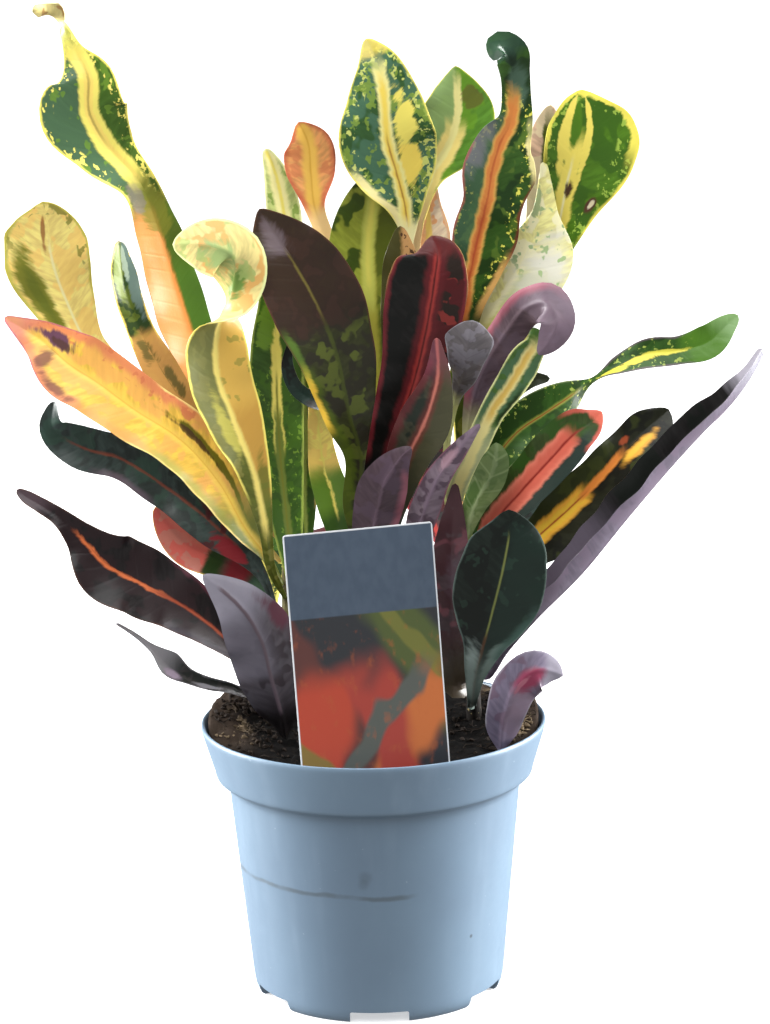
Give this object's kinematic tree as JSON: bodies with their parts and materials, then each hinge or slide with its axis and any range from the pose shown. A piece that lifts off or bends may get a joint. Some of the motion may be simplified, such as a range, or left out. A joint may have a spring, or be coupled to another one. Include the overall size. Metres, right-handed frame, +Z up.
{
  "type": "potted croton plant",
  "caption": "Bushy croton with curled, multicoloured leaves on upright stems, in a tapered round nursery pot with a collar, soil and a blank plant label.",
  "frame": {"origin": "on the pot's axis at the plane the pot stands on", "axes": "+Z up the pot's axis; -Y towards the plant's front, where the label stands; +X to the right as seen from the front"},
  "size_m": [0.2801, 0.1833, 0.3768],
  "materials": {
    "pot_plastic": "satin",
    "soil_peat": "rough",
    "label_card": "satin",
    "stem_bark": "rough",
    "leaf_tall_left": "waxy",
    "leaf_round_left": "waxy",
    "leaf_long_orange": "waxy",
    "leaf_small_olive": "waxy",
    "leaf_curled_peach": "waxy",
    "leaf_dark_left": "waxy",
    "leaf_coral_left": "waxy",
    "leaf_purple_left": "waxy",
    "leaf_grey_front": "waxy",
    "leaf_rolled_left": "waxy",
    "leaf_green_stripe": "waxy",
    "leaf_green_thin": "waxy",
    "leaf_teal_hook": "waxy",
    "leaf_yellow_small": "waxy",
    "leaf_pale_narrow": "waxy",
    "leaf_orange_small": "waxy",
    "leaf_dark_brown": "waxy",
    "leaf_olive": "waxy",
    "leaf_broad_top": "waxy",
    "leaf_green_top": "waxy",
    "leaf_orange_back": "waxy",
    "leaf_red_large": "waxy",
    "leaf_small_behind": "waxy",
    "leaf_coral_rib": "waxy",
    "leaf_pink_low": "waxy",
    "leaf_grey_narrow": "waxy",
    "leaf_hook_top": "waxy",
    "leaf_round_right": "waxy",
    "leaf_yellow_folded": "waxy",
    "leaf_grey_tip": "waxy",
    "leaf_pink_edge": "waxy",
    "leaf_yellow_rib": "waxy",
    "leaf_small_dark": "waxy",
    "leaf_olive_small": "waxy",
    "leaf_peach_behind": "waxy",
    "leaf_pale_low": "waxy",
    "leaf_crimson_upright": "waxy",
    "leaf_long_right": "waxy",
    "leaf_red_right": "waxy",
    "leaf_orange_rib": "waxy",
    "leaf_long_purple": "waxy",
    "leaf_oval_front": "waxy",
    "leaf_magenta_low": "waxy",
    "leaf_back_centre_top": "waxy",
    "leaf_back_right_low": "waxy",
    "leaf_back_left_low": "waxy",
    "leaf_back_centre_low": "waxy",
    "leaf_back_right_mid": "waxy",
    "leaf_back_left_mid": "waxy",
    "leaf_back_left_top": "waxy",
    "leaf_back_right_top": "waxy",
    "leaf_back_right_floor": "waxy",
    "leaf_back_left_floor": "waxy"
  },
  "bodies": {
    "root": {"pot": "pot_plastic", "soil": "soil_peat", "plant_label": "label_card", "stem_left": "stem_bark", "stem_centre": "stem_bark", "stem_right": "stem_bark", "leaf_tall_left": "leaf_tall_left", "leaf_round_left": "leaf_round_left", "leaf_long_orange": "leaf_long_orange", "leaf_small_olive": "leaf_small_olive", "leaf_curled_peach": "leaf_curled_peach", "leaf_dark_left": "leaf_dark_left", "leaf_coral_left": "leaf_coral_left", "leaf_purple_left": "leaf_purple_left", "leaf_grey_front": "leaf_grey_front", "leaf_rolled_left": "leaf_rolled_left", "leaf_green_stripe": "leaf_green_stripe", "leaf_green_thin": "leaf_green_thin", "leaf_teal_hook": "leaf_teal_hook", "leaf_yellow_small": "leaf_yellow_small", "leaf_pale_narrow": "leaf_pale_narrow", "leaf_orange_small": "leaf_orange_small", "leaf_dark_brown": "leaf_dark_brown", "leaf_olive": "leaf_olive", "leaf_broad_top": "leaf_broad_top", "leaf_green_top": "leaf_green_top", "leaf_orange_back": "leaf_orange_back", "leaf_red_large": "leaf_red_large", "leaf_small_behind": "leaf_small_behind", "leaf_coral_rib": "leaf_coral_rib", "leaf_pink_low": "leaf_pink_low", "leaf_grey_narrow": "leaf_grey_narrow", "leaf_hook_top": "leaf_hook_top", "leaf_round_right": "leaf_round_right", "leaf_yellow_folded": "leaf_yellow_folded", "leaf_grey_tip": "leaf_grey_tip", "leaf_pink_edge": "leaf_pink_edge", "leaf_yellow_rib": "leaf_yellow_rib", "leaf_small_dark": "leaf_small_dark", "leaf_olive_small": "leaf_olive_small", "leaf_peach_behind": "leaf_peach_behind", "leaf_pale_low": "leaf_pale_low", "leaf_crimson_upright": "leaf_crimson_upright", "leaf_long_right": "leaf_long_right", "leaf_red_right": "leaf_red_right", "leaf_orange_rib": "leaf_orange_rib", "leaf_long_purple": "leaf_long_purple", "leaf_oval_front": "leaf_oval_front", "leaf_magenta_low": "leaf_magenta_low", "leaf_back_centre_top": "leaf_back_centre_top", "leaf_back_right_low": "leaf_back_right_low", "leaf_back_left_low": "leaf_back_left_low", "leaf_back_centre_low": "leaf_back_centre_low", "leaf_back_right_mid": "leaf_back_right_mid", "leaf_back_left_mid": "leaf_back_left_mid", "leaf_back_left_top": "leaf_back_left_top", "leaf_back_right_top": "leaf_back_right_top", "leaf_back_right_floor": "leaf_back_right_floor", "leaf_back_left_floor": "leaf_back_left_floor"}
  },
  "joints": []
}
